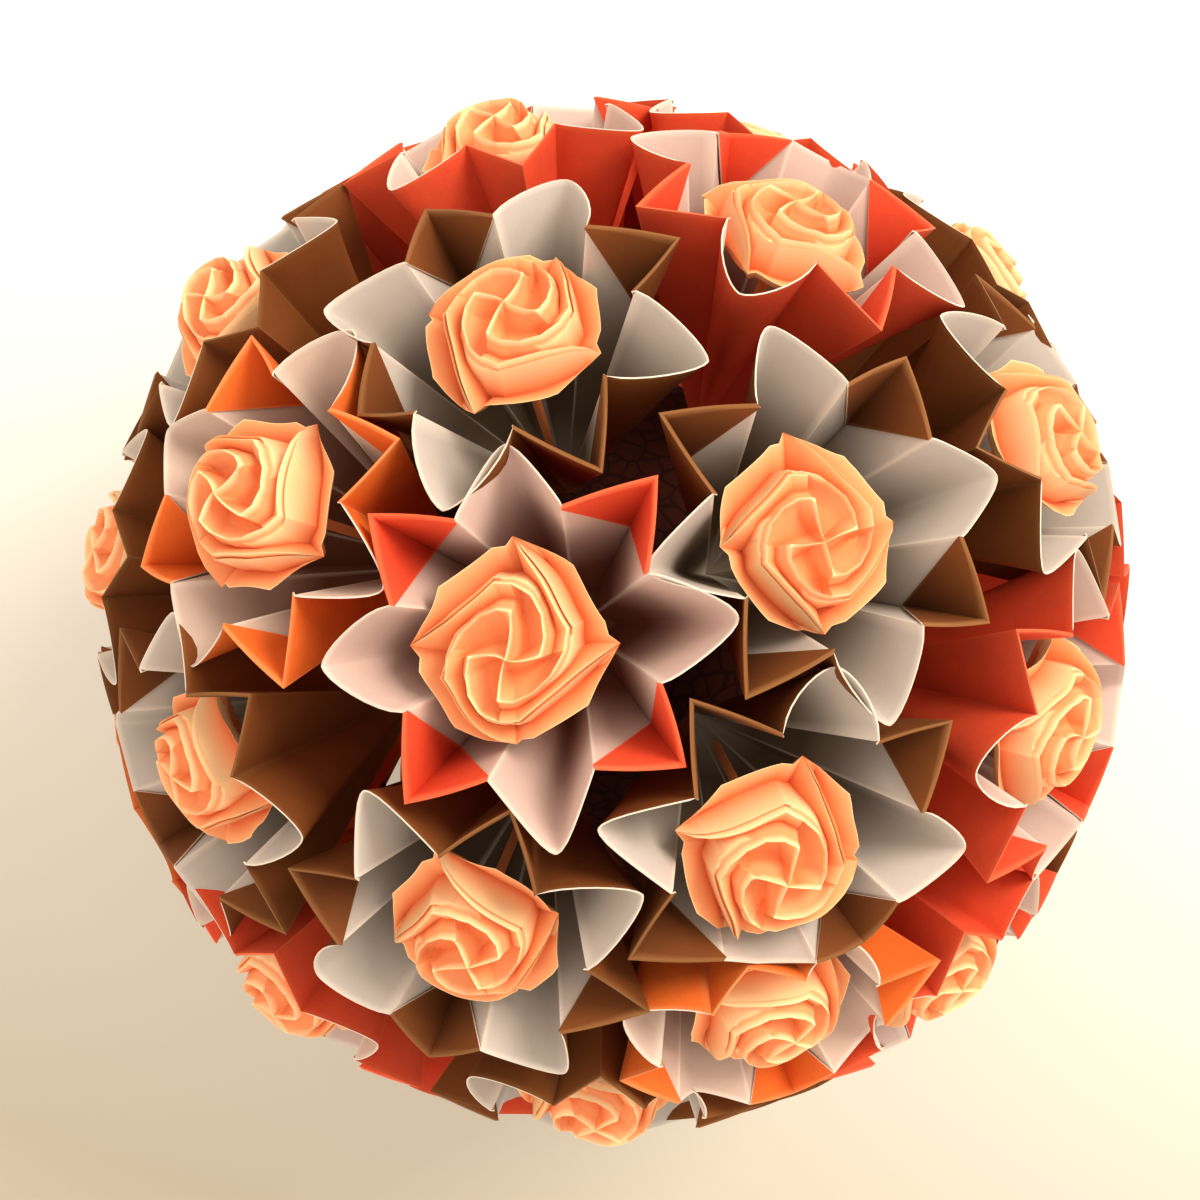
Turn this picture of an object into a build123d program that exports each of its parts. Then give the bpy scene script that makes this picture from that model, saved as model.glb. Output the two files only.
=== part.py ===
from build123d import *
from math import acos, atan2, cos, degrees, floor, hypot, pi, radians, sin, sqrt
import os

# A kusudama: a ball of paper flowers on a foam core. Each flower is two folded squares of
# paper, a funnel with an eight-pointed mouth and a rose that sits in it. The part is made
# about the middle of the ball, and set down on the mouth of its lowest flower at the end.

core_diameter = 80.0         # foam ball that the funnels are glued to
glue_gap = 0.1               # glue between the core and the closed tip of a funnel
paper_thickness = 0.2

funnel_depth = 42.0          # closed tip to the valleys of the mouth, along the funnel
valley_radius = 16.8         # the mouth is narrowest at its eight valleys
point_radius = 25.0          # and widest at its eight points
point_drop = 3.2             # the points lie this far below the valleys

rose_radius = 12.8           # to the four lip ends, the widest corners of the outline
rose_foot_radius = 4.0
rose_turn = 39.0             # degrees on from a star point, so the lip ends lie over petals
rose_clearance = 0.2         # between the rose and the funnel that it rests in
heart_rise = 7.0             # the heart of the rose over its lip ends
lip_height = 2.6             # each curled petal edge over the next petal
lip_slant = 1.0              # how far the foot of a lip stands out from under it
pocket_depth = 2.4           # of the four hollows round the heart

flower_count = 48
point_gap = 0.6              # room kept between a paper point and the next funnel
press_step = 0.25            # a point that has no room is pressed back by such steps

# The flowers of the upper side, in whole degrees: the lean from upright, the turn about the
# upright, and the flower's turn about its own axis, where a seen star point gives it.
UPPER_FLOWERS = [
    ("red", 8, 194, 38),
    ("brown", 29, 111, 10),
    ("orange", 37, 162, 33),
    ("brown", 21, 25, 36),
    ("brown", 35, 245, 5),
    ("brown", 26, 308, 88),
    ("brown", 66, 141, None),
    ("red", 49, 66, 39),
    ("brown", 55, 23, 85),
    ("red", 53, 346, 64),
    ("brown", 51, 201, 18),
    ("red", 66, 103, None),
    ("brown", 74, 173, None),
    ("red", 70, 229, None),
    ("brown", 65, 268, None),
    ("red", 67, 312, 75),
    ("brown", 80, 43, None),
]
LOWER_COLOURS = ["brown", "red", "brown", "brown", "orange", "brown", "red"]

# One petal of the rose, wound outwards: its lip and then the two further corners of its
# outline, each as a share of the rose's radius, degrees round from the start of the lip,
# and how low it lies, as a share of the heart's rise.
ROSE_LIP = [(0.37, 0, 0.04), (0.48, 47, 0.12), (0.64, 108, 0.28), (1.0, 180, 1.0)]
ROSE_EDGE = [(0.92, 193, 0.9), (0.93, 232, 0.9)]

closed_tip = core_diameter / 2 + glue_gap
valley_height = closed_tip + funnel_depth
point_height = valley_height - point_drop
valley_slope = valley_radius / funnel_depth


def at(radius, bearing, height):
    """A place given round a flower's axis."""
    a = radians(bearing)
    return Vector(radius * cos(a), radius * sin(a), height)


def edge_radius(start, end, span, part):
    """How far out a straight edge runs, part of the way round from its start to its end."""
    return start * end * sin(span) / (start * sin(part) + end * sin(span - part))


panel_corners = at(valley_radius, 22.5, funnel_depth), at(point_radius, 0, funnel_depth - point_drop)
panel_normal = panel_corners[0].cross(panel_corners[1]).normalized()
rise = paper_thickness / abs(panel_normal.Z)       # one layer of a funnel panel, measured upright


def direction(lean, turn):
    """The way a flower points, from its lean and turn in degrees."""
    a, b = radians(lean), radians(turn)
    return Vector(sin(a) * cos(b), sin(a) * sin(b), cos(a))


def golden_spiral(count):
    """Evenly spread directions over the whole ball."""
    golden_angle = pi * (3 - sqrt(5))
    for i in range(count):
        height = 1 - (2 * i + 1) / count
        yield direction(degrees(acos(height)), degrees(golden_angle * i))


def fill_lower_side(upper, count, rounds=30, candidates=400):
    """One flower straight down, the others where the gap is widest, then evened out."""
    placed = upper + [Vector(0, 0, -1)]
    held = len(placed)
    spots = list(golden_spiral(candidates))
    while len(placed) < count:
        placed.append(min(spots, key=lambda spot: max(spot.dot(other) for other in placed)))
    for turn in range(rounds):
        step = 0.04 * (1 - turn / rounds)
        for i in range(held, count):
            push = Vector(0, 0, 0)
            for j, other in enumerate(placed):
                if j != i:
                    away = placed[i] - other
                    push += away * (away.length**-7)
            placed[i] = (placed[i] + push.normalized() * step).normalized()
    return placed[len(upper):]


class Flower:
    """One flower's place on the ball, and how far each of its eight points reaches."""

    def __init__(self, colour, axis, spin):
        self.colour = colour
        self.axis = axis
        self.reach = [point_radius] * 8
        self.neighbours = []
        self.turn_to(spin or 0)
        self.spin_is_known = spin is not None

    def turn_to(self, spin):
        """Point the first star point along the meridian, turned by spin degrees."""
        lean = self.axis.get_angle(Vector(0, 0, 1))
        turn = degrees(atan2(self.axis.Y, self.axis.X))
        meridian = direction(lean + 90, turn)
        along, across = cos(radians(spin)), sin(radians(spin))
        self.x_way = meridian * along + self.axis.cross(meridian) * across
        self.y_way = self.axis.cross(self.x_way)

    def location(self):
        """Where the flower's sheets go, folded upright about the middle of the ball."""
        return Plane((0, 0, 0), x_dir=self.x_way, z_dir=self.axis).location

    def mouth_point(self, k):
        """The tip of point k of the mouth, in the ball's frame."""
        return self.in_ball(self.reach[k], 45 * k, point_height)

    def flank_middle(self, k, side):
        """The middle of one edge of point k, in the ball's frame."""
        valley = self.in_ball(valley_radius, 45 * k + side * 22.5, valley_height)
        return (self.mouth_point(k) + valley) * 0.5

    def in_ball(self, radius, bearing, height):
        """A place in the flower, given round its axis, as a place in the ball."""
        a = radians(bearing)
        across = self.x_way * (radius * cos(a)) + self.y_way * (radius * sin(a))
        return across + self.axis * height

    def room_beside(self, place):
        """How far a place lies outside this flower's mouth, in millimetres."""
        x, y = place.dot(self.x_way), place.dot(self.y_way)
        height = place.dot(self.axis)
        bearing = degrees(atan2(y, x)) % 360
        k = floor(bearing / 45 + 0.5)
        off_point = abs(radians(bearing - 45 * k))
        point = self.reach[k % 8] / point_height
        valley = valley_radius / valley_height
        return hypot(x, y) - edge_radius(point, valley, pi / 8, off_point) * height

    def crowding(self):
        """How much the points of this flower and its settled neighbours are in each other's way."""
        total = 0
        for other in self.neighbours:
            if other.spin_is_known:
                for k in range(8):
                    total += max(0, point_gap - other.room_beside(self.mouth_point(k)))
                    total += max(0, point_gap - self.room_beside(other.mouth_point(k)))
        return total

    def has_room(self, k):
        """Whether point k and both its edges clear every neighbour."""
        places = [self.mouth_point(k), self.flank_middle(k, -1), self.flank_middle(k, 1)]
        return all(n.room_beside(p) >= point_gap for n in self.neighbours for p in places)


    def seat(self):
        """How far over its closed tip the funnel holds the rose's lip ends."""
        heights = [rose_hold() / valley_slope]
        for petal in range(4):
            for share, bearing, drop in [ROSE_LIP[-1], *ROSE_EDGE]:
                turn = rose_turn + bearing - 180 + 90 * petal
                k = floor(turn / 45 + 0.5)
                slope = self.reach[k % 8] / (funnel_depth - point_drop)
                slope = edge_radius(slope, valley_slope, pi / 8, abs(radians(turn - 45 * k)))
                heights.append((rose_radius * share + rose_clearance) / slope)
        return rise + max(heights)


def rose_hold():
    """The rose's widest radius where the valleys of a funnel lie, with its clearance."""
    corners = [(share, bearing - 180) for share, bearing, drop in [ROSE_LIP[-1], *ROSE_EDGE]]
    corners.append((1.0, 90))
    widest = 0
    for (start, first), (end, last) in zip(corners, corners[1:]):
        for valley in (22.5, 67.5, 112.5):
            if first <= valley - rose_turn <= last:
                span, part = radians(last - first), radians(valley - rose_turn - first)
                widest = max(widest, edge_radius(start, end, span, part))
    return rose_radius * widest + rose_clearance


def set_out_flowers():
    """All the flowers in place, each turned so that its points fall beside its neighbours'."""
    flowers = [Flower(c, direction(lean, turn), spin) for c, lean, turn, spin in UPPER_FLOWERS]
    lower = fill_lower_side([flower.axis for flower in flowers], flower_count)
    for number, axis in enumerate(lower):
        flowers.append(Flower(LOWER_COLOURS[number % len(LOWER_COLOURS)], axis, None))
    for flower in flowers:
        others = [other for other in flowers if other is not flower]
        others.sort(key=lambda other: -other.axis.dot(flower.axis))
        flower.neighbours = others[:8]
    for flower in flowers:
        if not flower.spin_is_known:
            crowding_at = {}
            for spin in range(0, 45, 3):
                flower.turn_to(spin)
                crowding_at[spin] = flower.crowding()
            flower.turn_to(min(crowding_at, key=crowding_at.get))
            flower.spin_is_known = True
    crowded = [(flower, k) for flower in flowers for k in range(8)]
    while crowded:
        crowded = [(f, k) for f, k in crowded if f.reach[k] > valley_radius and not f.has_room(k)]
        for flower, k in crowded:
            flower.reach[k] -= press_step
    return flowers


def facets_to_solid(facets):
    """A closed body from its flat faces, each given by its corners."""
    return Solid(Shell([Face(Wire.make_polygon(corners)) for corners in facets]))


def fold_funnel(reach):
    """The funnel sheet: sixteen panels from the closed tip to the mouth. Every second point
    is a corner of the square folded inwards, so it is two layers thick down to the fold."""
    facets = []
    for k in range(8):
        point_slope = reach[k] / (funnel_depth - point_drop)
        edge = at(reach[k], 0, point_height) - at(valley_radius, 22.5, valley_height)
        along_groove = hypot(reach[k], point_height - closed_tip)
        below = 1 - edge.length / along_groove

        def tip(layer):
            return Vector(0, 0, closed_tip + layer * rise)

        def point(layer):
            return at(reach[k] - layer * rise * point_slope, 45 * k, point_height)

        def flap_end(layer):
            radius = reach[k] * below - layer * rise * point_slope
            return at(radius, 45 * k, closed_tip + (point_height - closed_tip) * below)

        for side in (-1, 1):

            def valley(layer):
                radius = valley_radius - layer * rise * valley_slope
                return at(radius, 45 * k + 22.5 * side, valley_height)

            facets.append((tip(0), valley(0), point(0)))
            facets.append((valley(0), valley(1), point(1)))
            facets.append((valley(0), point(1), point(0)))
            if k % 2:
                facets.append((tip(1), valley(1), point(1)))
            else:
                facets.append((tip(1), valley(1), flap_end(1)))
                facets.append((valley(1), valley(2), flap_end(2)))
                facets.append((valley(1), flap_end(2), flap_end(1)))
                facets.append((valley(2), point(2), flap_end(2)))
                facets.append((valley(1), valley(2), point(2)))
                facets.append((valley(1), point(2), point(1)))
    return facets_to_solid(facets)


def fold_rose():
    """The rose sheet: four petals wound round one heart. Each petal's curled edge, its lip,
    runs outwards from the heart and ends at a corner of the outline, at height nought."""
    foot_depth = (rose_hold() - rose_clearance - rose_foot_radius) / valley_slope
    side_slope = (rose_radius - rose_foot_radius) / foot_depth
    heart = Vector(0, 0, heart_rise)
    ends = len(ROSE_LIP) - 1

    def on_petal(petal, corner):
        share, bearing, drop = corner
        turn = rose_turn - 180 + 90 * petal + bearing
        return at(rose_radius * share, turn, heart_rise * (1 - drop))

    def lip(petal, j):
        """Corner j of a petal's lip, counted outwards."""
        return on_petal(petal, ROSE_LIP[j])

    def below_lip(petal, j):
        """The foot of a lip, on the next petal; its end lies on the side wall of the rose."""
        share, bearing, drop = ROSE_LIP[j]
        turn = rose_turn - 180 + 90 * petal + bearing
        if j < ends:
            height = heart_rise * (1 - drop) - lip_height
            return at(rose_radius * share + lip_slant, turn, height)
        return at(rose_radius - lip_height / 2 * side_slope, turn, -lip_height / 2)

    def pocket(petal):
        """The bottom of the hollow between two lips, beside the heart."""
        turn = rose_turn - 180 + 90 * petal + 45
        return at(rose_radius * ROSE_LIP[0][0] / 2, turn, heart_rise - pocket_depth)

    def foot(petal, j):
        return at(rose_foot_radius, rose_turn + 90 * petal + 45 * j, -foot_depth)

    facets = []
    for petal in range(4):
        nxt = petal + 1
        first_corner, last_corner = (on_petal(petal, corner) for corner in ROSE_EDGE)
        facets.append((pocket(petal), heart, lip(petal, 0)))
        facets.append((pocket(petal), lip(petal, 0), lip(petal, 1)))
        facets.append((pocket(petal), lip(petal, 1), below_lip(nxt, 0)))
        facets.append((pocket(petal), below_lip(nxt, 0), heart))
        facets.append((heart, lip(nxt, 0), below_lip(nxt, 0)))
        facets.append((lip(petal, 1), lip(petal, 2), below_lip(nxt, 0)))
        facets.append((below_lip(nxt, 0), lip(petal, 2), below_lip(nxt, 1)))
        facets.append((below_lip(nxt, 1), lip(petal, 2), lip(petal, 3)))
        facets.append((below_lip(nxt, 1), lip(petal, 3), below_lip(nxt, 2)))
        facets.append((below_lip(nxt, 2), lip(petal, 3), first_corner))
        facets.append((below_lip(nxt, 2), first_corner, last_corner))
        facets.append((below_lip(nxt, 2), last_corner, below_lip(nxt, 3)))
        for j in range(ends):
            facets.append((lip(petal, j), lip(petal, j + 1), below_lip(petal, j + 1)))
            facets.append((lip(petal, j), below_lip(petal, j + 1), below_lip(petal, j)))
        facets.append((lip(petal, 3), foot(petal, 1), first_corner))
        facets.append((first_corner, foot(petal, 1), last_corner))
        facets.append((lip(petal, 3), below_lip(petal, 3), foot(petal, 1)))
        facets.append((below_lip(petal, 3), foot(petal, 0), foot(petal, 1)))
        facets.append((last_corner, foot(petal, 1), foot(nxt, 0)))
        facets.append((last_corner, foot(nxt, 0), below_lip(nxt, 3)))
    facets.append([foot(j // 2, j % 2) for j in range(8)])
    return facets_to_solid(facets)


flowers = set_out_flowers()
pieces = []

# The core: a smooth foam ball, hidden once every funnel is glued on.
with BuildPart() as core:
    Sphere(core_diameter / 2)
core.part.label = "foam_core"
pieces.append(core.part)

# The funnels: one folded square each, coloured outside and white inside.
for number, flower in enumerate(flowers, 1):
    with BuildPart() as funnel:
        with Locations(flower.location()):
            add(fold_funnel(flower.reach))
    funnel.part.label = f"funnel_{flower.colour}_{number:02d}"
    pieces.append(funnel.part)

# The roses: one folded square each, held by the valleys of its funnel. The roses of one
# band of the ball, from the top down, are kept together as separate bodies.
rose = fold_rose()
BANDS = ["top", "upper", "upper_side", "lower_side", "lower", "bottom"]
for band, name in enumerate(BANDS):
    band_angle = 180 / len(BANDS)
    places = [
        flower.location() * Pos(0, 0, closed_tip + flower.seat())
        for flower in flowers
        if floor(flower.axis.get_angle(Vector(0, 0, 1)) / band_angle * 0.9999) == band
    ]
    with BuildPart() as roses:
        with Locations(*places):
            add(rose)
    roses.part.label = f"roses_{name}"
    pieces.append(roses.part)

# The whole ball stands on the floor, over the middle of its own outline.
box = Compound(pieces).bounding_box()
to_floor = Pos(-box.center().X, -box.center().Y, -box.min.Z)

os.makedirs("parts", exist_ok=True)
for piece in pieces:
    placed = to_floor * piece
    placed.label = piece.label
    export_step(placed, f"parts/{piece.label}.step")
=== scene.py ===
import random
from math import atan2, cos, pi, radians, sin, sqrt, tau

import bmesh
import bpy
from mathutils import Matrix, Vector, noise


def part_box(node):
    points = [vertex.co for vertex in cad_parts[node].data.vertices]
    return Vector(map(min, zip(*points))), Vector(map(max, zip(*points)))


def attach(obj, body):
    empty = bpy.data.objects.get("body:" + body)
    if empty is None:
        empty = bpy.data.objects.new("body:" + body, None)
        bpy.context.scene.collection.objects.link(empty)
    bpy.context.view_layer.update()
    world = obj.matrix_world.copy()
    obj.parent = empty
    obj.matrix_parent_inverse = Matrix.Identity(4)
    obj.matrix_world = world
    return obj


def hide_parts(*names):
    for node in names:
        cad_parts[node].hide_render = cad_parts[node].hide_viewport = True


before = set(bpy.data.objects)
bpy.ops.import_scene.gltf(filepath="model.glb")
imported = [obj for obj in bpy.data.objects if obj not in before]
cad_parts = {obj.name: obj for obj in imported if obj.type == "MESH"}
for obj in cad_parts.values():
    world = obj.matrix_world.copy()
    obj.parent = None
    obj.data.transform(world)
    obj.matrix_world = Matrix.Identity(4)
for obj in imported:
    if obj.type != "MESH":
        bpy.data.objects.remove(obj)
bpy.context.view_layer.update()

# The floor: a plain pale sheet under the ball, its colour painted light and shade: white
# towards the light and creamier away from it, as lit backdrop paper looks.
MM = 0.001
FLOOR_HALF = 1.2
FLOOR_PAINTED_LIGHT = "#FFFEFA"
FLOOR_PAINTED_SHADE = "#C4BAA6"
TOWARDS_LIGHT = (0.28, 0.96, 0)
PAINTED_SHADE_UP_TO = -0.15              # m from the ball towards the light
PAINTED_LIGHT_FROM = 0.11


def to_linear(hex_colour):
    """An sRGB hex value as the linear colour that a shader takes."""
    channels = [int(hex_colour[i:i + 2], 16) / 255 for i in (1, 3, 5)]
    linear = [c / 12.92 if c <= 0.04045 else ((c + 0.055) / 1.055) ** 2.4 for c in channels]
    return (*linear, 1.0)


def new_material(name):
    """An empty node material with its output."""
    material = bpy.data.materials.new(name)
    material.use_nodes = True
    material.node_tree.nodes.clear()
    output = material.node_tree.nodes.new("ShaderNodeOutputMaterial")
    return material, material.node_tree, output


def add_node(tree, kind, settings=(), values=(), links=()):
    """One shader node: its settings, the values of its sockets and what feeds them."""
    node = tree.nodes.new("ShaderNode" + kind)
    for name, value in dict(settings).items():
        setattr(node, name, value)
    for socket, value in dict(values).items():
        node.inputs[socket].default_value = value
    for socket, source in dict(links).items():
        tree.links.new(source, node.inputs[socket])
    return node


floor_mesh = bmesh.new()
bmesh.ops.create_grid(floor_mesh, x_segments=2, y_segments=2, size=FLOOR_HALF)
floor_data = bpy.data.meshes.new("floor")
floor_mesh.to_mesh(floor_data)
floor_mesh.free()
floor = bpy.data.objects.new("floor", floor_data)
bpy.context.scene.collection.objects.link(floor)

# Matte backdrop paper without any gloss: only the slow change of its painted light and shade is seen.
material, tree, output = new_material("backdrop paper")
place = add_node(tree, "TexCoord")
along = add_node(tree, "VectorMath", {"operation": "DOT_PRODUCT"}, {1: TOWARDS_LIGHT},
                 {0: place.outputs["Object"]})
share = add_node(tree, "MapRange", {}, {"From Min": PAINTED_SHADE_UP_TO, "From Max": PAINTED_LIGHT_FROM},
                 {"Value": along.outputs["Value"]})
tint = add_node(tree, "MixRGB", {},
                {"Color1": to_linear(FLOOR_PAINTED_SHADE), "Color2": to_linear(FLOOR_PAINTED_LIGHT)},
                {"Fac": share.outputs["Result"]})
sheet = add_node(tree, "BsdfDiffuse", {}, {}, {"Color": tint.outputs["Color"]})
tree.links.new(sheet.outputs[0], output.inputs["Surface"])
floor_data.materials.append(material)

# The camera looks straight down on the ball from about 250 mm over its middle, a little
# off its axis, as the photograph was taken.
ball_low, ball_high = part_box("foam_core")
ball_middle = (ball_low + ball_high) / 2
MOUTH_REACH = 83.8 * MM          # middle of the ball to the valleys of a mouth
CAMERA_LIFT = 3.065 * MOUTH_REACH
CAMERA_ASIDE = Vector((-0.027, 0.028, 0)) * MOUTH_REACH
SENSOR = 36
FOCAL_PIXELS = 1505
PICTURE_PIXELS = 1200

camera_data = bpy.data.cameras.new("camera")
camera_data.sensor_width = SENSOR
camera_data.lens = SENSOR * FOCAL_PIXELS / PICTURE_PIXELS
camera_data.clip_start = 0.01
camera = bpy.data.objects.new("camera", camera_data)
camera.location = ball_middle + CAMERA_ASIDE + Vector((0, 0, CAMERA_LIFT))
bpy.context.scene.collection.objects.link(camera)
bpy.context.scene.camera = camera

# The lamps: one large soft window to the upper right, a weaker one across from it, and a
# pale world that fills the folds. The world itself shows as plain white.
WORLD_FILL = "#FFF6EA"
FILL_STRENGTH = 1.2


def add_lamp(name, place, size, power, colour):
    """A round area lamp that faces the ball."""
    lamp_data = bpy.data.lights.new(name, "AREA")
    lamp_data.shape = "DISK"
    lamp_data.size = size
    lamp_data.energy = power
    lamp_data.color = to_linear(colour)[:3]
    lamp = bpy.data.objects.new(name, lamp_data)
    lamp.location = place
    lamp.rotation_euler = (ball_middle - Vector(place)).to_track_quat("-Z", "Y").to_euler()
    bpy.context.scene.collection.objects.link(lamp)


add_lamp("window", (0.42, 0.34, 0.62), size=0.35, power=4.8, colour="#FFF4E6")
add_lamp("bounce", (-0.55, -0.45, 0.50), size=0.6, power=1.0, colour="#FFE9D0")

world = bpy.data.worlds.new("studio")
bpy.context.scene.world = world
world.use_nodes = True
tree = world.node_tree
tree.nodes.clear()
output = tree.nodes.new("ShaderNodeOutputWorld")
rays = add_node(tree, "LightPath")
seen = add_node(tree, "Math", {"operation": "MAXIMUM"}, {},
                {0: rays.outputs["Is Camera Ray"], 1: rays.outputs["Is Glossy Ray"]})
seen = add_node(tree, "Math", {"operation": "MAXIMUM"}, {},
                {0: seen.outputs[0], 1: rays.outputs["Is Transmission Ray"]})
fill = add_node(tree, "Background", {}, {"Color": to_linear(WORLD_FILL), "Strength": FILL_STRENGTH})
white = add_node(tree, "Background", {}, {"Color": to_linear("#FFFFFF"), "Strength": 1.0})
mix = add_node(tree, "MixShader", {}, {},
               {0: seen.outputs[0], 1: fill.outputs[0], 2: white.outputs[0]})
tree.links.new(mix.outputs[0], output.inputs["Surface"])

bpy.context.scene.view_settings.view_transform = "Standard"

# The foam core: one ball of expanded polystyrene, moulded from beads about 3 mm across and
# coloured dark, as painted shade, so that it shows as shade between the funnels. The foam core: one
# ball of expanded polystyrene, moulded from beads about 3 mm across and painted dark, so that it
# doesn't show between the funnels. The funnels are glued to it.
BEAD = 3.0 * MM
BEAD_JOINT = 0.12                # share of a bead's width that slopes down to a joint
DIMPLE = 0.2 * MM                # depth of the joints
CORE_PAINTED_SHADE = "#34140A"
CORE_JOINTS = "#200A05"

# Moulded foam coloured dark as painted shade: dull, with darker lines where the beads meet.
material, tree, output = new_material("expanded polystyrene in painted shade")
place = add_node(tree, "TexCoord")
beads = add_node(tree, "TexVoronoi", {"feature": "DISTANCE_TO_EDGE"}, {"Scale": 1 / BEAD},
                 {"Vector": place.outputs["Object"]})
joints = add_node(tree, "MapRange", {}, {"From Max": BEAD_JOINT},
                  {"Value": beads.outputs["Distance"]})
tint = add_node(tree, "MixRGB", {},
                {"Color1": to_linear(CORE_JOINTS), "Color2": to_linear(CORE_PAINTED_SHADE)},
                {"Fac": joints.outputs["Result"]})
dimples = add_node(tree, "Bump", {}, {"Strength": 0.6, "Distance": DIMPLE},
                   {"Height": joints.outputs["Result"]})
foam = add_node(tree, "BsdfPrincipled", {}, {"Roughness": 0.85, "Specular IOR Level": 0.08},
                {"Base Color": tint.outputs["Color"], "Normal": dimples.outputs["Normal"]})
tree.links.new(foam.outputs[0], output.inputs["Surface"])
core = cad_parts["foam_core"]
core.data.materials.clear()
core.data.materials.append(material)

# The funnels: a square of paper each, coloured outside and white inside, pleated into a
# closed tip with an eight-pointed mouth. Four points are corners of the square folded in,
# so they are doubled and coloured inside; the four between are bare white petals.
PAPER = 0.2 * MM                 # drawn a little thicker than the real sheet
HEM_GAP = 0.5 * MM               # printed side of the wall to that of the folded corner
HEM_ROUND = 0.15 * MM            # how far the fold of a corner stands over its rim
FLAP_END = 0.97                  # share of the way to a valley that a folded corner's edge runs
PETAL_ROUND = (0.0, 0.75)        # from a pointed petal at 0 to a spoon at 1
PETAL_CURL = (0.0 * MM, 1.1 * MM)    # how far a petal's tip bends outwards
CURL_DOWN = 0.4                  # and how far down, as a share of that
CURL_ALONG = 10                  # power of the place along the wall: only the end curls
CURL_ACROSS = 1.5                # power of the place across it: the middle curls most
BLUNT = 0.3                      # share of a pointed petal's edge that rounds its point
PANEL_BOW = 0.35 * MM            # how far a flat panel stands out in its middle
FREE_FROM = 1.06                 # share of a wall's length from which it presses on no rose
LEAST_SLOPE = 0.2                # of a wall to the axis, in working out how far it presses
CREASE = 35                      # degrees of turn from which a fold is drawn sharp
SAME_CORNER = 0.01 * MM          # corners of the solid nearer than this are one
SAME_BEARING = 8                 # degrees within which corners stand over each other
VALLEY_HEIGHT = 0.998            # share of the funnel's depth from which a corner is a valley
POINT_HEIGHT = 0.85              # and from which it belongs to a point
PANELS = 16                      # two to each point of the mouth
ACROSS = [0, 0.04, 0.12, 0.26, 0.42, 0.58, 0.74, 0.88, 0.96]   # places across one panel
ALONG = [0, 0.3, 0.5, 0.66, 0.78, 0.87, 0.94, 0.98, 1.0]       # places from tip to rim
HEM = [0, 0.06, 0.5, 0.94, 1.0]  # places from the rim to the inner edge of a folded corner
HEM_WEAR = [0.7, 0.3, 0.02, 0, 0.02, 0.4]    # how pale each row of the folded corner is worn
RIM_WEAR = 0.6                   # how pale the rim is worn
FOLD_WEAR = 0.5                  # and the creases down the wall

OUTSIDE = {"red": "#E25030", "orange": "#EA6E2A", "brown": "#7A441E"}
# Painted shade: the folded corners' printed side darkens to these colours down into the funnel.
OUTSIDE_PAINTED_SHADE = {"red": "#A8200C", "orange": "#B8420E", "brown": "#3C1A08"}
EDGE_WEAR = {"red": "#EC6A42", "orange": "#F2965A", "brown": "#8E6036"}
# The white side is drawn greyer than white paper, as painted shade, and pinker where the print shows
# through it.
INSIDE = {"red": "#D2B8AC", "orange": "#D2BAAA", "brown": "#C6BCB2"}
# Painted shade: the white side darkens to these colours down in the funnel.
INSIDE_PAINTED_SHADE = {"red": "#7E4A38", "orange": "#80503A", "brown": "#6E5C48"}
INSIDE_WEAR = "#EFE4D4"
RAW_EDGE = "#E2D2BF"
SHADED = 0.46                    # share of the depth over which the painted shade in a funnel deepens
TUCKED = 0.30                    # the same for the painted shade under the folded corners
CLOUD = 6 * MM                   # across a patch of uneven print
FIBRE = 0.5 * MM                 # across a clump of fibres, coarser than real so that it shows
GRAIN = 0.03 * MM                # height of the felt of fibres


def fibre_paper(name, colour, worn, shade_colour="#000000", where="painted_shade", clouds=0.10):
    """Uncoated paper: a faint cloudy print and a felt of short fibres that only dulls the
    light. Folds and edges are worn pale where the attribute "fold" says, and painted shade
    darkens the colour towards a shade colour where a second attribute says."""
    material, tree, output = new_material(name)
    place = add_node(tree, "TexCoord")
    cloud = add_node(tree, "TexNoise", {}, {"Scale": 1 / CLOUD, "Detail": 5, "Roughness": 0.65},
                     {"Vector": place.outputs["Object"]})
    felt = add_node(tree, "TexNoise", {}, {"Scale": 1 / FIBRE, "Detail": 3, "Roughness": 0.6},
                    {"Vector": place.outputs["Object"]})
    patches = add_node(tree, "Math", {"operation": "MULTIPLY_ADD"},
                       {1: clouds * 4, 2: 1 - clouds * 2}, {0: cloud.outputs["Fac"]})
    specks = add_node(tree, "Math", {"operation": "MULTIPLY_ADD"},
                      {1: clouds * 1.6, 2: 1 - clouds * 0.8}, {0: felt.outputs["Fac"]})
    shade = add_node(tree, "Math", {"operation": "MULTIPLY"}, {},
                     {0: patches.outputs[0], 1: specks.outputs[0]})
    dye = add_node(tree, "VectorMath", {"operation": "SCALE"}, {0: to_linear(colour)[:3]},
                   {"Scale": shade.outputs[0]})
    fold = add_node(tree, "Attribute", {"attribute_name": "fold"})
    wear = add_node(tree, "Math", {"operation": "MULTIPLY"}, {},
                    {0: fold.outputs["Fac"], 1: specks.outputs[0]})
    # Painted shade: the colour is mixed towards the shade colour where that attribute says.
    depth = add_node(tree, "Attribute", {"attribute_name": where})
    body = add_node(tree, "MixRGB", {}, {"Color2": to_linear(shade_colour)},
                    {"Fac": depth.outputs["Fac"], "Color1": dye.outputs["Vector"]})
    face = add_node(tree, "MixRGB", {}, {"Color2": to_linear(worn)},
                    {"Fac": wear.outputs[0], "Color1": body.outputs["Color"]})
    grain = add_node(tree, "Bump", {}, {"Strength": 0.35, "Distance": GRAIN},
                     {"Height": felt.outputs["Fac"]})
    sheet = add_node(tree, "BsdfPrincipled", {}, {"Roughness": 0.72, "Specular IOR Level": 0.15},
                     {"Base Color": face.outputs["Color"], "Normal": grain.outputs["Normal"]})
    tree.links.new(sheet.outputs[0], output.inputs["Surface"])
    return material


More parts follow.
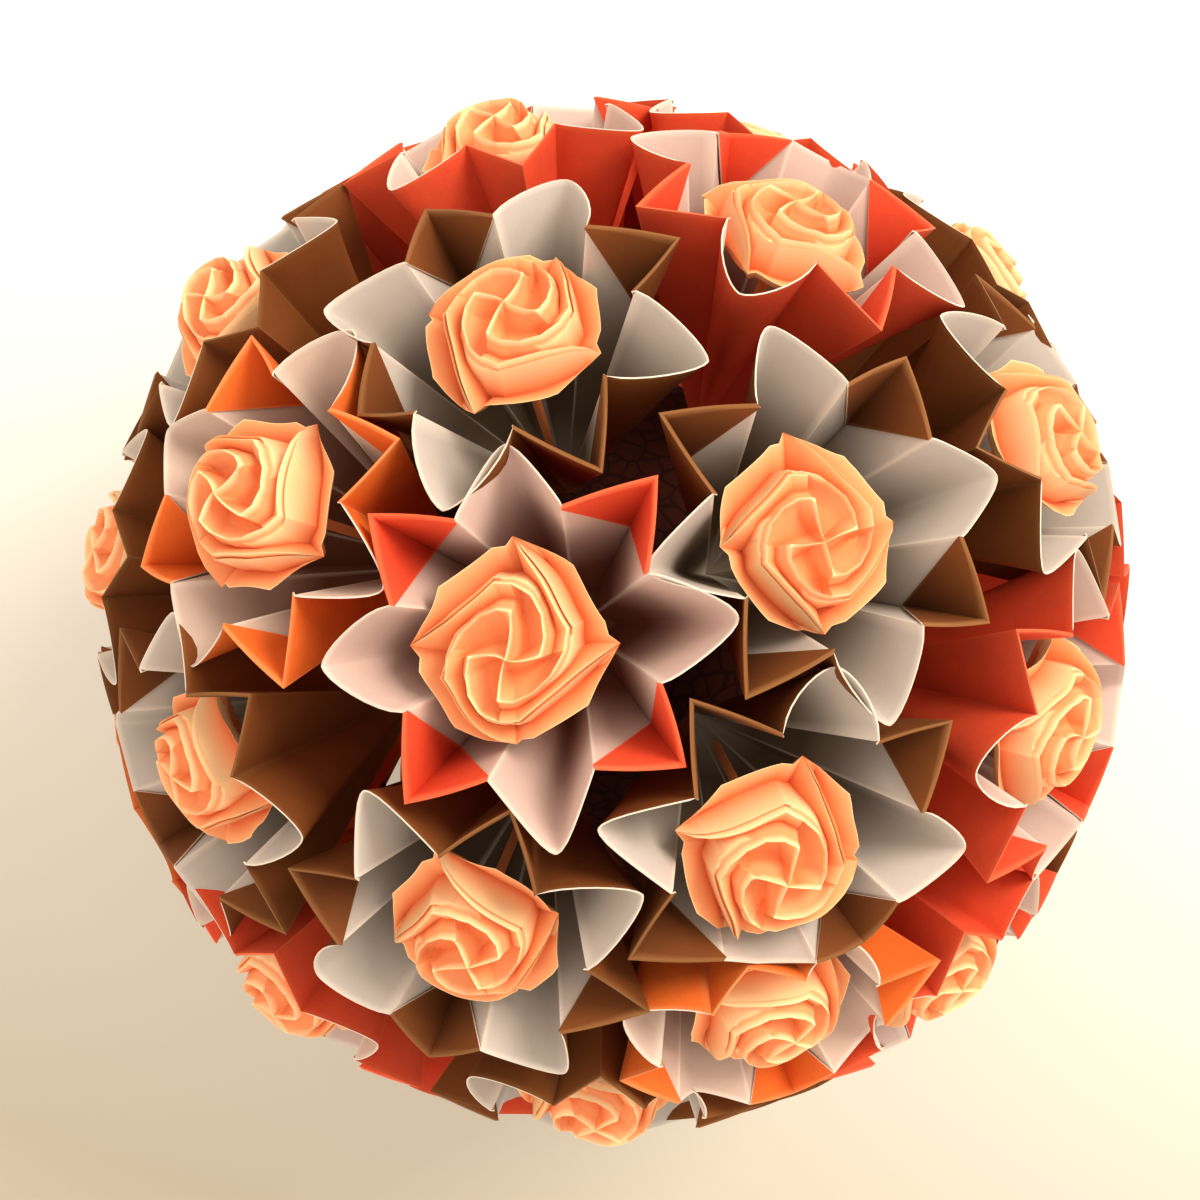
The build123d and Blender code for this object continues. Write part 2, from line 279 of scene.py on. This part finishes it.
funnel_papers = {
    colour: [
        fibre_paper(f"{colour} paper, printed side", OUTSIDE[colour], EDGE_WEAR[colour],
                    OUTSIDE_PAINTED_SHADE[colour], where="tucked_shade"),
        fibre_paper(f"{colour} paper, white side", INSIDE[colour], INSIDE_WEAR,
                    INSIDE_PAINTED_SHADE[colour], clouds=0.04),
        # The cut edge takes the painted shade too, darkening towards black down in the funnel.
        fibre_paper(f"{colour} paper, cut edge", RAW_EDGE, RAW_EDGE, clouds=0.03),
    ]
    for colour in OUTSIDE
}


def merged_corners(node):
    """The corners of a CAD node, each once."""
    copy = bmesh.new()
    copy.from_mesh(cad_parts[node].data)
    bmesh.ops.remove_doubles(copy, verts=copy.verts, dist=SAME_CORNER)
    corners = [vert.co.copy() for vert in copy.verts]
    copy.free()
    return corners


class Mouth:
    """A funnel's closed tip, axis, points and valleys, read from its CAD node."""

    def __init__(self, node):
        self.node = node
        corners = merged_corners(node)
        self.tip = min(corners, key=lambda c: (c - ball_middle).length)
        self.axis = (self.tip - ball_middle).normalized()
        heights = [self.height(c) for c in corners]
        self.depth = max(heights)
        valley_height = VALLEY_HEIGHT * self.depth
        point_height = POINT_HEIGHT * self.depth
        pairs = list(zip(corners, heights))
        self.valleys = self.outermost([c for c, h in pairs if h > valley_height])
        ends = [c for c, h in pairs if point_height < h < valley_height]
        self.points = self.outermost(ends)
        layers = [sum(self.beside(c, point) for c in ends) for point in self.points[:2]]
        if layers[1] > layers[0]:
            self.points = self.points[1:] + self.points[:1]
        self.across = self.aside(self.points[0]).normalized()
        self.onward = self.axis.cross(self.across)
        self.valleys.sort(key=self.bearing)
        self.outline = [corner for pair in zip(self.points, self.valleys) for corner in pair]
        self.turns = [self.bearing(corner) for corner in self.outline[1:]]
        hand = random.Random(node)
        self.softness = [hand.uniform(*PETAL_ROUND) for point in self.points]
        self.curl = [hand.uniform(*PETAL_CURL) for point in self.points]

    def height(self, place):
        """How far a place lies up the axis from the closed tip."""
        return (place - self.tip).dot(self.axis)

    def aside(self, place):
        """The way from the axis to a place."""
        return place - self.tip - self.axis * self.height(place)

    def bearing(self, place):
        """The turn of a place round the axis, from the first star point."""
        aside = self.aside(place)
        return atan2(aside.dot(self.onward), aside.dot(self.across)) % tau

    def beside(self, a, b):
        """Whether two places have about the same bearing."""
        return self.aside(a).angle(self.aside(b)) < radians(SAME_BEARING)

    def outermost(self, corners):
        """The outermost corner at each bearing, in order round the axis."""
        kept = []
        for corner in sorted(corners, key=lambda c: -self.aside(c).length):
            if not any(self.beside(corner, other) for other in kept):
                kept.append(corner)
        start = self.aside(kept[0]).normalized()
        side = self.axis.cross(start)
        return sorted(kept, key=lambda c: atan2(self.aside(c).dot(side), self.aside(c).dot(start)) % tau)

    def pushed_in(self, place, thickness, k):
        """The place moved into the funnel through a thickness of star point k's panels."""
        panel = (self.points[k] - self.tip).cross(self.valleys[k] - self.tip).normalized()
        lift = thickness / abs(panel.dot(self.axis))
        return self.tip + (place - self.tip) * (1 - lift / self.height(place)) + self.axis * lift

    def held_in(self, place, gap):
        """The place of a rose's paper, pressed in where the wall beside it would be nearer
        than a gap. Above the rim it is free."""
        bearing = self.bearing(place)
        panel = sum(turn <= bearing for turn in self.turns)
        start = self.outline[panel] - self.tip
        end = self.outline[(panel + 1) % PANELS] - self.tip
        inward = start.cross(end).normalized()
        from_tip = place - self.tip
        near = gap - from_tip.dot(inward)
        if near <= 0 or self.height(place) <= 0:
            return place
        on_wall = from_tip - inward * from_tip.dot(inward)
        along_rim = (end - start).normalized()
        wall_length = (start - along_rim * start.dot(along_rim)).length
        w = (on_wall - along_rim * on_wall.dot(along_rim)).length / wall_length
        held = min(1, max(0, (FREE_FROM - w) / (FREE_FROM - 1)))
        to_axis = -self.aside(place).normalized()
        return place + to_axis * (held * near / max(LEAST_SLOPE, to_axis.dot(inward)))


def soft_fold(a, softness):
    """From 0 at 0 to 1 at 1: pointed for no softness, round as a spoon for a softness of 1."""
    blunt = sqrt(a * a + BLUNT * BLUNT) - BLUNT
    blunt /= sqrt(1 + BLUNT * BLUNT) - BLUNT
    return blunt * (1 - softness) + (1 - sqrt(1 - a * a)) * softness


def wall_place(mouth, k, side, a, w):
    """A place on the wall beside point k: a is 0 at the point and 1 at its valley on that
    side, and w is 0 at the closed tip and 1 at the rim. Even points are the folded ones."""
    point, valley, other = mouth.points[k], mouth.valleys[k - 1 + side], mouth.valleys[k - side]
    if k % 2 == 0:
        rim = point.lerp(valley, a)
        bow = mouth.aside(rim).normalized() * (PANEL_BOW * sin(pi * a) * w)
        return mouth.tip.lerp(rim, w) + bow
    rim = point + (valley - other) / 2 * a
    rim += ((valley + other) / 2 - point) * soft_fold(a, mouth.softness[k])
    curl = mouth.curl[k] * w**CURL_ALONG * (1 - a)**CURL_ACROSS
    outwards = mouth.aside(point).normalized() - mouth.axis * CURL_DOWN
    return mouth.tip.lerp(rim, w) + outwards * curl


def flap_place(mouth, k, side, a):
    """A place on the inner edge of star point k's folded corner, on the wall."""
    point, valley = mouth.points[k], mouth.valleys[k - 1 + side]
    flap_end = point + (mouth.tip - point).normalized() * (valley - point).length
    return valley.lerp(flap_end, 1 - FLAP_END * a)


def hem_place(mouth, k, side, a, row):
    """The folded corner of star point k: over the rim, inside it, and down the wall. Its
    fold is round at the point and flat at the valley, where the ball may rest on it."""
    rim = wall_place(mouth, k, side, a, 1)
    if row == 1:
        return mouth.pushed_in(rim, HEM_GAP / 2, k) + mouth.axis * (HEM_ROUND * (1 - a**4))
    return mouth.pushed_in(rim.lerp(flap_place(mouth, k, side, a), HEM[row - 2]), HEM_GAP, k)


def fold_funnel(mouth):
    """The funnel's sheet as an open surface, its printed side outwards. A cone is cut into
    panels and rows, and each vertex is put in its place on the folded square."""
    steps = len(ACROSS)
    rim_row = len(ALONG) - 1
    last_row = rim_row + len(HEM_WEAR)
    columns = PANELS * steps
    sheet = bmesh.new()
    bmesh.ops.create_cone(sheet, cap_ends=False, segments=columns, radius1=1, radius2=2, depth=1)
    uprights = [e for e in sheet.edges if abs(e.verts[0].co.z - e.verts[1].co.z) > 0.5]
    bmesh.ops.subdivide_edges(sheet, edges=uprights, cuts=last_row - 1)
    fold = sheet.verts.layers.float.new("fold")
    painted_shade = sheet.verts.layers.float.new("painted_shade")
    tucked_shade = sheet.verts.layers.float.new("tucked_shade")
    bare = []
    tip_ring = []
    for face in sheet.faces:
        middle = face.calc_center_median()
        panel = int(atan2(middle.y, middle.x) % tau / tau * PANELS)
        row = int((middle.z + 0.5) * last_row)
        if row >= rim_row and panel % 4 in (1, 2):
            bare.append(face)
    bmesh.ops.delete(sheet, geom=bare, context="FACES")
    for vert in sheet.verts:
        column = round(atan2(vert.co.y, vert.co.x) % tau / tau * columns) % columns
        row = round((vert.co.z + 0.5) * last_row)
        panel, step = divmod(column, steps)
        k = (panel + 1) // 2 % len(mouth.points)
        side = 1 - panel % 2
        a = ACROSS[step] if side else 1 - ACROSS[step]
        if row > rim_row:
            if k % 2:
                k, side = k - 1, 1
            vert.co = hem_place(mouth, k, side, a, row - rim_row)
            vert[fold] = HEM_WEAR[row - rim_row - 1]
            # Painted shade on the folded corners: none at the rim, full at a share TUCKED of the depth
            # below it.
            vert[tucked_shade] = min(1, (1 - mouth.height(vert.co) / mouth.depth) / TUCKED)
            continue
        if row == 0:
            tip_ring.append(vert)
        vert.co = wall_place(mouth, k, side, a, ALONG[row])
        crisp = a == 1 or (k % 2 == 0 and a == 0)
        vert[fold] = RIM_WEAR if row == rim_row else FOLD_WEAR if crisp else 0
    bmesh.ops.pointmerge(sheet, verts=tip_ring, merge_co=mouth.tip)
    # Painted shade down the funnel: none at the rim, full at a share SHADED of the depth below it.
    for vert in sheet.verts:
        down = max(0, 1 - mouth.height(vert.co) / mouth.depth)
        vert[painted_shade] = min(1, down / SHADED)**2
    return sheet


def paper_object(name, sheet, papers):
    """The open surface with the thickness of its paper behind it, as a finished piece."""
    thin = bpy.data.meshes.new(name)
    sheet.to_mesh(thin)
    sheet.free()
    piece = bpy.data.objects.new(name, thin)
    bpy.context.scene.collection.objects.link(piece)
    for paper in papers:
        thin.materials.append(paper)
    body = piece.modifiers.new("paper", "SOLIDIFY")
    body.thickness = PAPER
    body.offset = -1
    body.material_offset = 1
    body.material_offset_rim = 2
    whole = piece.evaluated_get(bpy.context.evaluated_depsgraph_get())
    thick = bpy.data.meshes.new_from_object(whole)
    piece.modifiers.clear()
    piece.data = thick
    thick.shade_smooth()
    thick.set_sharp_from_angle(angle=radians(CREASE))
    return piece


mouths = []
for node in sorted(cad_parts):
    if node.startswith("funnel_"):
        mouth = Mouth(node)
        mouths.append(mouth)
        colour = node.split("_")[1]
        funnel = paper_object(node + "_sheet", fold_funnel(mouth), funnel_papers[colour])
        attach(funnel, "root")
        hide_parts(node)

# The roses: a smaller square each, of peach paper, folded flat and then twisted, so that
# four lips wind out of the heart. Each is glued by its foot into a funnel's mouth.
ROSE_REACH = 12.8                # this and the sizes below are in mm and degrees
ROSE_LIP = [(4.7, 0), (5.3, 22.5), (6.0, 45), (6.7, 67.5), (7.5, 90), (8.1, 106.9), (12.8, 180)]
ROSE_RIM = [(12.8, 0), (11.7, 5), (11.8, 13), (11.9, 52), (12.8, 90)]
RIM_PLACES = [(0, 0), (1, 5), (3, 13), (10, 52), (16, 90)]    # bearing of each place on the rim
LIP_DROP = [(0, 0), (4.7, 0.04), (6.0, 0.12), (8.1, 0.28), (11, 0.56), (12.8, 1.0)]  # of the rise
RIM_DROP = [(0, 1.0), (5, 0.93), (13, 0.86), (52, 0.86), (90, 1.0)]    # the same, by bearing
QUARTER = 16                     # places round the rose in each quarter turn
ROWS = 9                         # places from one lip to the next
SEAM = 0.004                     # nearer than this, two petals' places on a lip are one

POCKET = 3.0                     # depth of the four pockets round the heart
POCKET_ENDS = 4                  # places over which a pocket opens and closes
POCKET_PLACES = [0, 0.05, 0.16, 0.3, 0.45, 0.6, 0.74, 0.86, 0.95, 1]    # of its rows

WALL_HEIGHT = 2.6                # from a lip down to the surface outside it
WALL_FOOT = 1.5                  # from a lip out to the foot of its wall
NARROW_FOOT = 0.42               # but no more than this share of a narrow gap
NARROW_WALL = 1.1                # and no higher a wall than this share of it
WALL_START = 0.3                 # share of its height that a wall has where it leaves a pocket
WALL_GROWS = 3                   # places over which it grows from there
WALL_OUT = (0, 0.3, 0.62, 1)     # places of the wall's rows from its lip outwards
WALL_DOWN = (0, 0.42, 0.62, 1)   # and down
FOLD_DOWN = (0, 0.52, 0.24, 1)   # down where a pleat lies in the wall, along a straight run
STRAIGHT_FROM = 95               # bearing on a lip at which its straight run begins
STRAIGHT_OVER = 12               # turn over which the pleat opens there
PLEAT_FROM = 2 * QUARTER + ROWS // 2    # first place along a petal whose pleat is worn pale

CUP = 1.3                        # depth of an outer petal's cup under its rim
CUP_GAP = 4                      # width from which a petal is cupped in full
PETAL_PLACES = [0, 0, 0, 0, 0.2, 0.4, 0.6, 0.8, 0.95, 1]      # places across it, after the wall
PETAL_SWELL = 0.6                # share of its rise that follows a round curve
SWELL_POWER = 1.5
PETAL_EASE = 0.1                 # share by which its rows crowd at the wall
UNDERSIDE = [(0.84, 1.8), (0.06, 5.0)]   # the folded-under side: share of the rim, drop below it
STALK_RADIUS = 0.6               # of its pinched foot

HEART_ASIDE = 2.0                # most that a heart lies off the middle of its rose
HEART_TWIST = (-12, 30)          # degrees that the arms of a heart may be twisted
HEART_SQUASH = 0.15              # share that a heart may be drawn out one way
HAND_FOLDED = 0.22               # most that hand folding bends a rose's lips
HAND_SCALE = 0.16                # bends for each mm
UNEVEN = 0.16                    # share by which the outer petals of a rose differ in reach
UNEVEN_SCALE = 1.3               # how often that changes round the rose
LONGEST = 0.15                   # of that share, the most that a petal is longer
LIFTED = 2.2                     # by which they differ in height
LIFTED_SCALE = 1.1               # how often that changes
NOISE_STEP = 10                  # from one rose's place in the noise to the next
NOISE_SEED = 1                   # without one, the bends would differ from run to run

ROSE_PAPER = "#F6AC76"
ROSE_EDGE = "#FFE2AC"
ROSE_PAINTED_SHADE = "#DC6228"            # painted shade down between petals, tinted orange by light through other petals
PAINTED_SHADE_ROWS = [0, 0.3, 0.3, 0.7, 0.58, 0.44, 0.3, 0.16, 0.04, 0]    # painted shade of each row, by how deep it lies
# Painted shade on the folded-under side.
PAINTED_SHADE_UNDER = 0.6
LIP_WEAR = 0.95
PLEAT_WEAR = 0.7
ROSE_CREASE = 22                 # degrees of turn from which a fold is drawn sharp

rose_paper = fibre_paper("peach paper, dyed through", ROSE_PAPER, ROSE_EDGE, ROSE_PAINTED_SHADE, clouds=0.05)
noise.seed_set(NOISE_SEED)


def between(stops, x):
    """The value at x on a line through a few stops, given as (x, value)."""
    for (x0, y0), (x1, y1) in zip(stops, stops[1:]):
        if x <= x1:
            return y0 + (y1 - y0) * max(0, (x - x0) / (x1 - x0))
    return stops[-1][1]


def flat(r, degrees):
    """The place at a radius and a bearing."""
    return Vector((r * cos(radians(degrees)), r * sin(radians(degrees)), 0))


def along_outline(outline, degrees):
    """The place on an outline of straight runs at a bearing."""
    for (r0, d0), (r1, d1) in zip(outline, outline[1:]):
        if degrees <= d1:
            start, end = flat(r0, d0), flat(r1, d1)
            ray = flat(1, degrees)
            side = Vector((-ray.y, ray.x, 0))
            share = start.dot(side) / ((start - end).dot(side))
            return ray * start.lerp(end, share).length
    return flat(*outline[-1])


def turned(place, degrees):
    """The place turned about the rose's axis."""
    c, s = cos(radians(degrees)), sin(radians(degrees))
    return Vector((place.x * c - place.y * s, place.x * s + place.y * c, place.z))


def lip_place(t, rise):
    """A place on a lip: t counts from the heart, along the arm, then round to the rim."""
    if t <= ROWS:
        place = flat(ROSE_LIP[0][0] * t / ROWS, 0)
    else:
        place = along_outline(ROSE_LIP, 90 * (t - ROWS) / QUARTER)
    place.z = -rise * between(LIP_DROP, place.length)
    return place


def pocket_place(inner, outer, column, row):
    """A place in a pocket beside the heart, between two lips."""
    share = POCKET_PLACES[row]
    place = inner.lerp(outer, share)
    from_start = (column - ROWS) / POCKET_ENDS
    to_end = (QUARTER + ROWS - column) / POCKET_ENDS
    opening = min(1, from_start, to_end + share)
    place.z -= POCKET * max(0, sin(pi * share)) ** 0.5 * opening
    return place


def petal_place(inner, outer, column, row):
    """A place on an outer petal: down the wall from the lip before it, then out and up to
    its own lip."""
    gap = (outer - inner).length
    past_pocket = column - QUARTER - ROWS
    straight = min(1, max(0, past_pocket / QUARTER * 90 - STRAIGHT_FROM) / STRAIGHT_OVER)
    foot = min(WALL_FOOT, NARROW_FOOT * gap)
    grown = min(1, past_pocket / WALL_GROWS + WALL_START)
    wall = min(WALL_HEIGHT, NARROW_WALL * gap) * grown
    start_z = min(inner.z - wall, outer.z - CUP * min(1, gap / CUP_GAP))
    wall = inner.z - start_z
    if row < len(WALL_OUT):
        down = WALL_DOWN[row] + (FOLD_DOWN[row] - WALL_DOWN[row]) * straight
        down *= wall if row == len(WALL_OUT) - 1 else min(wall, WALL_HEIGHT)
        place = inner.lerp(outer, WALL_OUT[row] * foot / gap)
        place.z = inner.z - down
        return place
    share = PETAL_PLACES[row]
    swell = 1 - (1 - share) ** SWELL_POWER
    start = inner.lerp(outer, foot / gap)
    start.z = start_z
    place = start.lerp(outer, share * (1 - PETAL_EASE) + PETAL_EASE * share**3)
    up = PETAL_SWELL * swell + (1 - PETAL_SWELL) * share
    place.z = start.z + (outer.z - start.z) * up
    return place


def rose_place(column, row, rise):
    """A place on one petal: row 0 is the next petal's lip and the last row its own. Columns
    count along the lip, then round the rim."""
    lip_end = ROWS + 2 * QUARTER
    if column == ROWS:
        return lip_place(row, rise)
    if column <= lip_end:
        outer = lip_place(column, rise)
    else:
        rim_bearing = between(RIM_PLACES, column - lip_end)
        outer = turned(along_outline(ROSE_RIM, rim_bearing), 180)
        outer.z = -rise * between(RIM_DROP, rim_bearing)
    inner = turned(lip_place(max(0, column - QUARTER), rise), 90)
    if column == lip_end + QUARTER or row == ROWS:
        return outer
    if column < QUARTER + ROWS:
        return pocket_place(inner, outer, column, row)
    return petal_place(inner, outer, column, row)


class Hand:
    """How one rose differs from the next, because each is folded by hand."""

    def __init__(self, number):
        hand = random.Random(number)
        self.heart = flat(HEART_ASIDE * hand.random() ** 0.5, 360 * hand.random())
        self.twist = hand.uniform(*HEART_TWIST)
        self.drawn = HEART_SQUASH * hand.random()
        self.drawn_bearing = 180 * hand.random()
        self.wander = Vector((0, 0, NOISE_STEP * number))

    def folded(self, place):
        """The place with its heart moved, twisted and drawn out, its lips bent, and its
        outer petals uneven."""
        inwards = max(0, 1 - place.to_2d().length / ROSE_REACH)
        place = turned(place, -self.twist * inwards**3 - self.drawn_bearing)
        place.x *= 1 + self.drawn * min(1, 2 * inwards)
        place.y *= 1 - self.drawn * min(1, 2 * inwards)
        place = turned(place, self.drawn_bearing)
        bend = noise.noise_vector(place * HAND_SCALE + self.wander)
        bend *= HAND_FOLDED * min(1, 4 * inwards)
        around = place.to_2d().normalized().to_3d() + self.wander
        outer = (1 - inwards)**2
        place *= 1 + UNEVEN * outer * min(LONGEST, noise.noise(around * UNEVEN_SCALE))
        place.z += LIFTED * outer * noise.noise(around * LIFTED_SCALE + self.wander)
        return place + self.heart * inwards**0.8 + bend


def fold_rose(rise, reach, foot_drop, number):
    """A rose about its own axis, heart up: four petals merged along their lips, and closed
    below by its folded-under side, which narrows to a pinched foot."""
    rose = bmesh.new()
    hand = Hand(number)
    fold = rose.verts.layers.float.new("fold")
    painted_shade = rose.verts.layers.float.new("painted_shade")
    first, last = ROWS, ROWS + 3 * QUARTER
    for petal in range(4):
        strip = bmesh.ops.create_grid(rose, x_segments=last - first, y_segments=ROWS, size=0.5)
        for vert in strip["verts"]:
            column = first + round((vert.co.x + 0.5) * (last - first))
            row = round((vert.co.y + 0.5) * ROWS)
            place = turned(rose_place(column, row, rise / MM), 90 * petal)
            vert.co = hand.folded(place) * MM
            lip = row in (0, ROWS) or column == first
            pleat = row == 2 and column >= PLEAT_FROM
            vert[fold] = LIP_WEAR if lip else PLEAT_WEAR if pleat else 0
            # Painted shade on the rows down between the lips.
            if not lip:
                vert[painted_shade] = PAINTED_SHADE_ROWS[row]
    bmesh.ops.remove_doubles(rose, verts=rose.verts, dist=SEAM * MM)
    size = reach / ROSE_REACH / MM
    bmesh.ops.scale(rose, vec=(size, size, 1), verts=rose.verts)
    rim = [e for e in rose.edges if e.is_boundary]
    rim_places = {}
    for shrink, drop in UNDERSIDE + [(0, 0)]:
        below = bmesh.ops.extrude_edge_only(rose, edges=rim)["geom"]
        for vert in (g for g in below if isinstance(g, bmesh.types.BMVert)):
            above = rim_places.pop(tuple(vert.co), vert.co.copy())
            vert.co = Vector((above.x * shrink, above.y * shrink, above.z - drop * MM))
            if not drop:
                outwards = above.to_2d().normalized().to_3d()
                vert.co = outwards * (STALK_RADIUS * MM) - Vector((0, 0, foot_drop))
            rim_places[tuple(vert.co)] = above
            vert[fold] = 0
            # Painted shade on the folded-under side.
            vert[painted_shade] = PAINTED_SHADE_UNDER
        rim = [g for g in below if isinstance(g, bmesh.types.BMEdge)]
    bmesh.ops.edgeloop_fill(rose, edges=rim)
    bmesh.ops.recalc_face_normals(rose, faces=rose.faces)
    return rose


ROSE_LIFT = 5.0 * MM             # how far the petals of a rose open above its solid
ROSE_LEAN = 1.2 * MM             # how far the heart of a rose may lean from the funnel's axis
ROSE_LEANS = {                   # those seen leaning clearly: mm right, away and up off the table
    "funnel_red_01": (-3.0, -0.6, 0),
    "funnel_brown_02": (0.3, 2.2, 0),
    "funnel_orange_03": (-2.4, 0.6, 2.0),
    "funnel_brown_04": (-2.0, -1.3, 0),
    "funnel_brown_06": (-2.2, -2.8, 0.8),
    "funnel_brown_07": (1.6, -1.4, 4.5),
    "funnel_brown_09": (0, 0, 2.0),
    "funnel_red_10": (-0.8, 0.8, 1.5),
    "funnel_red_12": (-1.5, -3.6, 4.0),
    "funnel_brown_13": (0.6, 0, 4.0),
    "funnel_red_14": (1.6, 2.0, 3.5),
    "funnel_brown_15": (0, 3.6, 4.0),
    "funnel_red_16": (-2.2, 2.6, 3.5),
    "funnel_brown_17": (0, 0, 3.0),
}
ROSE_LIFTS = {                   # and those that stand higher than the rest, in mm
    "funnel_brown_07": 8.0,
    "funnel_brown_09": 7.0,
    "funnel_red_10": 6.0,
    "funnel_red_12": 8.0,
    "funnel_brown_13": 7.0,
    "funnel_red_14": 8.0,
    "funnel_brown_15": 7.0,
    "funnel_red_16": 7.5,
    "funnel_brown_17": 8.5,
}
STALK_BEND = 10 * MM             # length over which the stalk of a rose that leans up bends
WALL_GAP = 1.0 * MM              # least gap from a rose to the wall, with the folded corners
TABLE_GAP = 0.3 * MM             # least gap from the heart of the lowest rose to the table
FACES_DOWN = -0.9                # below this slope of its axis, a mouth opens to the table
OWN_SIDE = 14 * MM               # the corners of a mouth's rose lie nearer its axis than this
OWN_HEIGHT = 50 * MM             # and further from the middle of the ball than this
LIP_ENDS = 0.995                 # share of a rose's reach from which a corner ends a lip


class RoseSolid:
    """The solid of a mouth's rose: its node, and its sizes along and across the axis."""

    def __init__(self, mouth):
        own = {}
        for node, corners in rose_corners.items():
            own[node] = [c for c in corners if mouth.height(c) > 0
                         and mouth.aside(c).length < OWN_SIDE
                         and (c - ball_middle).length > OWN_HEIGHT]
        self.node = max(own, key=lambda name: len(own[name]))
        corners = own[self.node]
        self.heart = max(mouth.height(c) for c in corners)
        self.reach = max(mouth.aside(c).length for c in corners)
        ends = [c for c in corners if mouth.aside(c).length > LIP_ENDS * self.reach]
        self.lip_end_bearing = mouth.bearing(ends[0])
        self.rise = self.heart - min(mouth.height(c) for c in ends)
        self.foot = self.heart - min(mouth.height(c) for c in corners)


rose_corners = {node: merged_corners(node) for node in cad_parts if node.startswith("roses_")}
for number, mouth in enumerate(mouths, 1):
    solid = RoseSolid(mouth)
    lift = ROSE_LIFT
    if mouth.axis.z < FACES_DOWN:
        lift = min(ROSE_LIFT, mouth.depth - solid.heart - TABLE_GAP)
    if mouth.node in ROSE_LIFTS:
        lift = ROSE_LIFTS[mouth.node] * MM
    stalk = solid.foot + lift
    rose = fold_rose(solid.rise, solid.reach, stalk, number)
    turn = solid.lip_end_bearing - pi
    right = mouth.across * cos(turn) + mouth.onward * sin(turn)
    up = mouth.axis.cross(right)
    hand = random.Random(number)
    lean = flat(hand.random() ** 0.5 * ROSE_LEAN, 360 * hand.random())
    lean = right * lean.x + up * lean.y
    if mouth.node in ROSE_LEANS:
        lean = Vector(ROSE_LEANS[mouth.node]) * MM
    tilt = Vector((0, 0, lean.z)) / STALK_BEND
    for vert in rose.verts:
        x, y, z = vert.co
        side = right * x + up * y
        share = (stalk + z) / stalk
        height = solid.heart + lift + z - side.dot(tilt) * share
        place = mouth.tip + mouth.axis * height + side + lean * share
        vert.co = mouth.held_in(place, WALL_GAP)
    name = f"rose_{number:02d}"
    mesh = bpy.data.meshes.new(name)
    rose.to_mesh(mesh)
    rose.free()
    mesh.materials.append(rose_paper)
    mesh.shade_smooth()
    mesh.set_sharp_from_angle(angle=radians(ROSE_CREASE))
    piece = bpy.data.objects.new(name, mesh)
    bpy.context.scene.collection.objects.link(piece)
    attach(piece, "root")
    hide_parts(solid.node)
